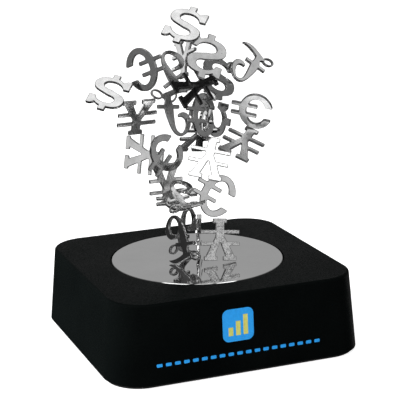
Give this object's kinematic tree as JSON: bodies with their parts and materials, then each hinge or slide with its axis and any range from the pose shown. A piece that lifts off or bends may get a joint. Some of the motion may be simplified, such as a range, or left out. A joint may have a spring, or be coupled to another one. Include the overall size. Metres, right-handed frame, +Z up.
{
  "type": "magnetic desk sculpture",
  "caption": "Square black block with a polished round disc over a magnet, and a tall loose cluster of polished steel currency symbols that cling to it and lift off.",
  "frame": {"origin": "centre of the underside of the foot pad, on the surface the block rests on", "axes": "+Z up through the disc; +X to the right and +Y to the back, seen from the printed front face; the front face looks along -Y"},
  "size_m": [0.0826, 0.0788, 0.1051],
  "materials": {
    "shell": "fine satin texture",
    "disc": "mirror polished",
    "adhesive": "soft clear-grey glue film",
    "magnet": "pressed ferrite, matt",
    "back_plate": "zinc plated",
    "cover": "matt",
    "screw": "zinc plated",
    "pad": "closed-cell foam",
    "ink": "printed ink, satin",
    "ink_light": "printed ink, satin",
    "steel": "polished, softly rounded edges"
  },
  "bodies": {
    "base": {"base_shell": "shell", "mirror_disc": "disc", "disc_adhesive": "adhesive", "magnet_adhesive": "adhesive", "ring_magnet": "magnet", "back_plate": "back_plate", "bottom_cover": "cover", "cover_screws": "screw", "foot_pad": "pad", "print_badge": "ink", "print_bars": "ink_light", "print_dashes": "ink"},
    "dollar_top": {"dollar_top": "steel"},
    "dollar_left": {"dollar_left": "steel"},
    "dollar_upper": {"dollar_upper": "steel"},
    "dollar_right": {"dollar_right": "steel"},
    "dollar_core": {"dollar_core": "steel"},
    "euro_upper_left": {"euro_upper_left": "steel"},
    "euro_right": {"euro_right": "steel"},
    "euro_left": {"euro_left": "steel"},
    "euro_low_right": {"euro_low_right": "steel"},
    "euro_low_flat": {"euro_low_flat": "steel"},
    "euro_core": {"euro_core": "steel"},
    "yen_left": {"yen_left": "steel"},
    "yen_left_side": {"yen_left_side": "steel"},
    "yen_low_left": {"yen_low_left": "steel"},
    "yen_right": {"yen_right": "steel"},
    "yen_foot": {"yen_foot": "steel"},
    "yen_upper_core": {"yen_upper_core": "steel"},
    "yen_under_top": {"yen_under_top": "steel"},
    "yen_centre": {"yen_centre": "steel"},
    "yen_foot_edge": {"yen_foot_edge": "steel"},
    "yen_core": {"yen_core": "steel"},
    "pound_upper_right": {"pound_upper_right": "steel"},
    "pound_left": {"pound_left": "steel"},
    "pound_upper_left": {"pound_upper_left": "steel"},
    "pound_foot": {"pound_foot": "steel"},
    "pound_foot_back": {"pound_foot_back": "steel"},
    "pound_low_flat": {"pound_low_flat": "steel"},
    "pound_core": {"pound_core": "steel"}
  },
  "joints": [
    {"name": "dollar_top_pull", "type": "slide", "parent": "base", "child": "dollar_top", "axis": [-0.9659, -0.2588, 0], "range_m": [0, 0.04]},
    {"name": "dollar_left_pull", "type": "slide", "parent": "base", "child": "dollar_left", "axis": [-0.9659, 0.2588, 0], "range_m": [0, 0.04]},
    {"name": "dollar_upper_pull", "type": "slide", "parent": "base", "child": "dollar_upper", "axis": [0.866, -0.5, 0], "range_m": [0, 0.04]},
    {"name": "dollar_right_pull", "type": "slide", "parent": "base", "child": "dollar_right", "axis": [0.866, 0.5, 0], "range_m": [0, 0.04]},
    {"name": "dollar_core_pull", "type": "slide", "parent": "base", "child": "dollar_core", "axis": [0.7071, 0.7071, 0], "range_m": [0, 0.04]},
    {"name": "euro_upper_left_pull", "type": "slide", "parent": "base", "child": "euro_upper_left", "axis": [-0.5, 0.866, 0], "range_m": [0, 0.04]},
    {"name": "euro_right_pull", "type": "slide", "parent": "base", "child": "euro_right", "axis": [1, 0, 0], "range_m": [0, 0.04]},
    {"name": "euro_left_pull", "type": "slide", "parent": "base", "child": "euro_left", "axis": [-0.9659, -0.2588, 0], "range_m": [0, 0.04]},
    {"name": "euro_low_right_pull", "type": "slide", "parent": "base", "child": "euro_low_right", "axis": [0.683, -0.683, -0.2588], "range_m": [0, 0.04]},
    {"name": "euro_low_flat_pull", "type": "slide", "parent": "base", "child": "euro_low_flat", "axis": [-0.8365, -0.483, -0.2588], "range_m": [0, 0.04]},
    {"name": "euro_core_pull", "type": "slide", "parent": "base", "child": "euro_core", "axis": [0, -0.9659, -0.2588], "range_m": [0, 0.04]},
    {"name": "yen_left_pull", "type": "slide", "parent": "base", "child": "yen_left", "axis": [-0.866, 0.5, 0], "range_m": [0, 0.04]},
    {"name": "yen_left_side_pull", "type": "slide", "parent": "base", "child": "yen_left_side", "axis": [-0.7071, 0.7071, 0], "range_m": [0, 0.04]},
    {"name": "yen_low_left_pull", "type": "slide", "parent": "base", "child": "yen_low_left", "axis": [-0.9659, 0, -0.2588], "range_m": [0, 0.04]},
    {"name": "yen_right_pull", "type": "slide", "parent": "base", "child": "yen_right", "axis": [0.9659, -0.2588, 0], "range_m": [0, 0.04]},
    {"name": "yen_foot_pull", "type": "slide", "parent": "base", "child": "yen_foot", "axis": [0.5, -0.866, 0], "range_m": [0, 0.04]},
    {"name": "yen_upper_core_pull", "type": "slide", "parent": "base", "child": "yen_upper_core", "axis": [-0.433, -0.75, -0.5], "range_m": [0, 0.04]},
    {"name": "yen_under_top_pull", "type": "slide", "parent": "base", "child": "yen_under_top", "axis": [0.2588, 0.9659, 0], "range_m": [0, 0.04]},
    {"name": "yen_centre_pull", "type": "slide", "parent": "base", "child": "yen_centre", "axis": [0.5, -0.866, 0], "range_m": [0, 0.04]},
    {"name": "yen_foot_edge_pull", "type": "slide", "parent": "base", "child": "yen_foot_edge", "axis": [1, 0, 0], "range_m": [0, 0.04]},
    {"name": "yen_core_pull", "type": "slide", "parent": "base", "child": "yen_core", "axis": [-0.7071, 0.7071, 0], "range_m": [0, 0.04]},
    {"name": "pound_upper_right_pull", "type": "slide", "parent": "base", "child": "pound_upper_right", "axis": [1, 0, 0], "range_m": [0, 0.04]},
    {"name": "pound_left_pull", "type": "slide", "parent": "base", "child": "pound_left", "axis": [-0.9659, -0.2588, 0], "range_m": [0, 0.04]},
    {"name": "pound_upper_left_pull", "type": "slide", "parent": "base", "child": "pound_upper_left", "axis": [-0.2588, 0.9659, 0], "range_m": [0, 0.04]},
    {"name": "pound_foot_pull", "type": "slide", "parent": "base", "child": "pound_foot", "axis": [-0.7071, -0.7071, 0], "range_m": [0, 0.04]},
    {"name": "pound_foot_back_pull", "type": "slide", "parent": "base", "child": "pound_foot_back", "axis": [-0.9659, 0.2588, 0], "range_m": [0, 0.04]},
    {"name": "pound_low_flat_pull", "type": "slide", "parent": "base", "child": "pound_low_flat", "axis": [-0.7071, -0.7071, 0], "range_m": [0, 0.04]},
    {"name": "pound_core_pull", "type": "slide", "parent": "base", "child": "pound_core", "axis": [0.5, 0.5, 0.7071], "range_m": [0, 0.04]}
  ]
}
